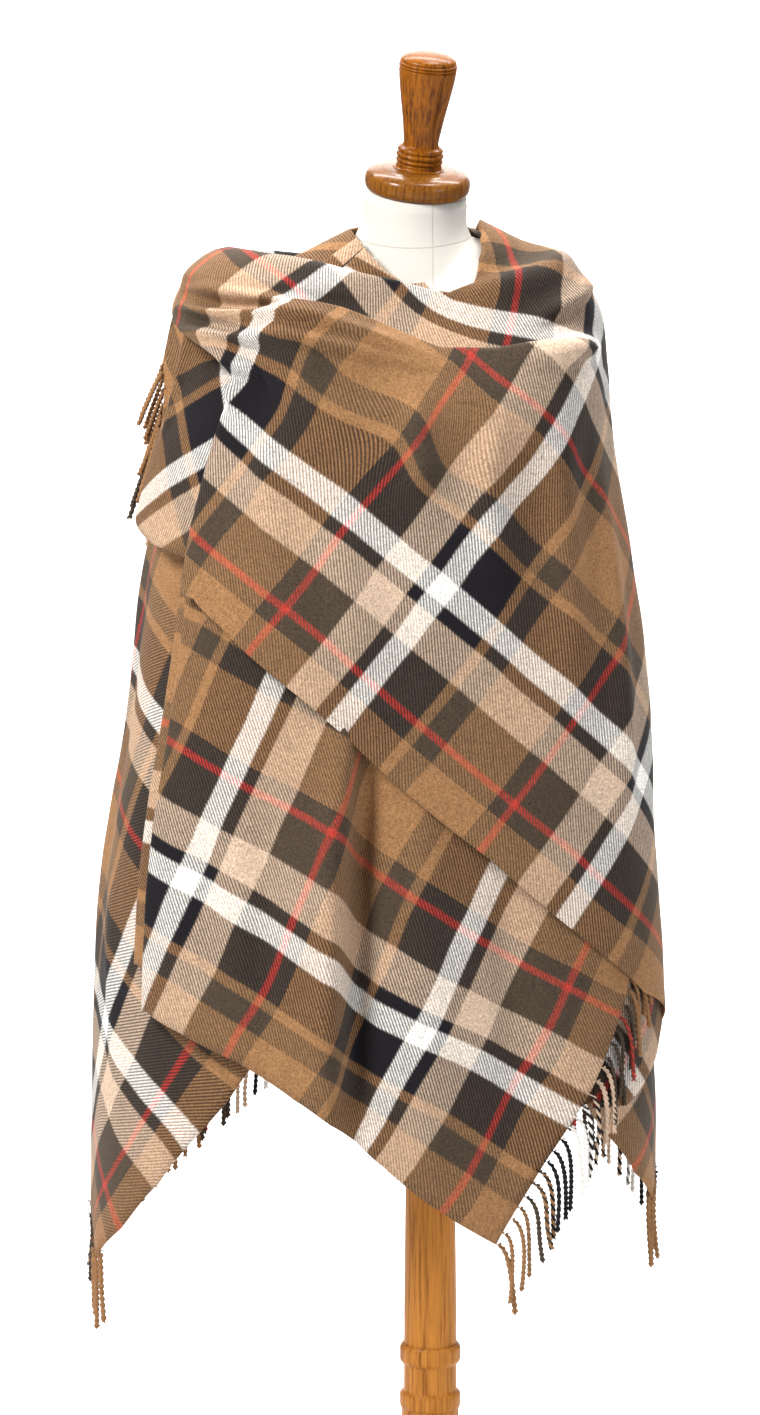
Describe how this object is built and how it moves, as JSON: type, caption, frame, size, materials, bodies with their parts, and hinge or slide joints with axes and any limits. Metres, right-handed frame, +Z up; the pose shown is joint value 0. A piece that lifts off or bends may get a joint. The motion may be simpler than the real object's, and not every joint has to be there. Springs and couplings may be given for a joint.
{
  "type": "ruana on a dress form",
  "caption": "Fringed wool ruana in a bias-hung plaid, one front thrown over the shoulder, draped on a limbless dress form with a turned wooden finial, post and base.",
  "frame": {"origin": "centre of the base's underside, on the axis of the post", "axes": "+Z up, -Y towards the front of the form, +X towards the form's own left"},
  "size_m": [0.6506, 0.3924, 1.7452],
  "materials": {
    "plaid_wool": "brushed twill wool, matt and slightly napped",
    "fringe_wool": "twisted wool tassels",
    "canvas": "cream canvas stretched smooth over the form",
    "dark_wood": "turned hardwood, brown stain, glossy lacquer",
    "honey_wood": "turned hardwood, honey stain, satin lacquer"
  },
  "bodies": {
    "root": {"ruana_back": "plaid_wool", "ruana_right_front": "plaid_wool", "ruana_side_fold": "plaid_wool", "ruana_left_front": "plaid_wool", "ruana_thrown_end": "plaid_wool", "fringe_back": "fringe_wool", "fringe_right_front": "fringe_wool", "fringe_thrown_end": "fringe_wool", "torso": "canvas", "neck_cap": "dark_wood", "finial": "dark_wood", "post": "honey_wood", "base": "honey_wood"}
  },
  "joints": []
}
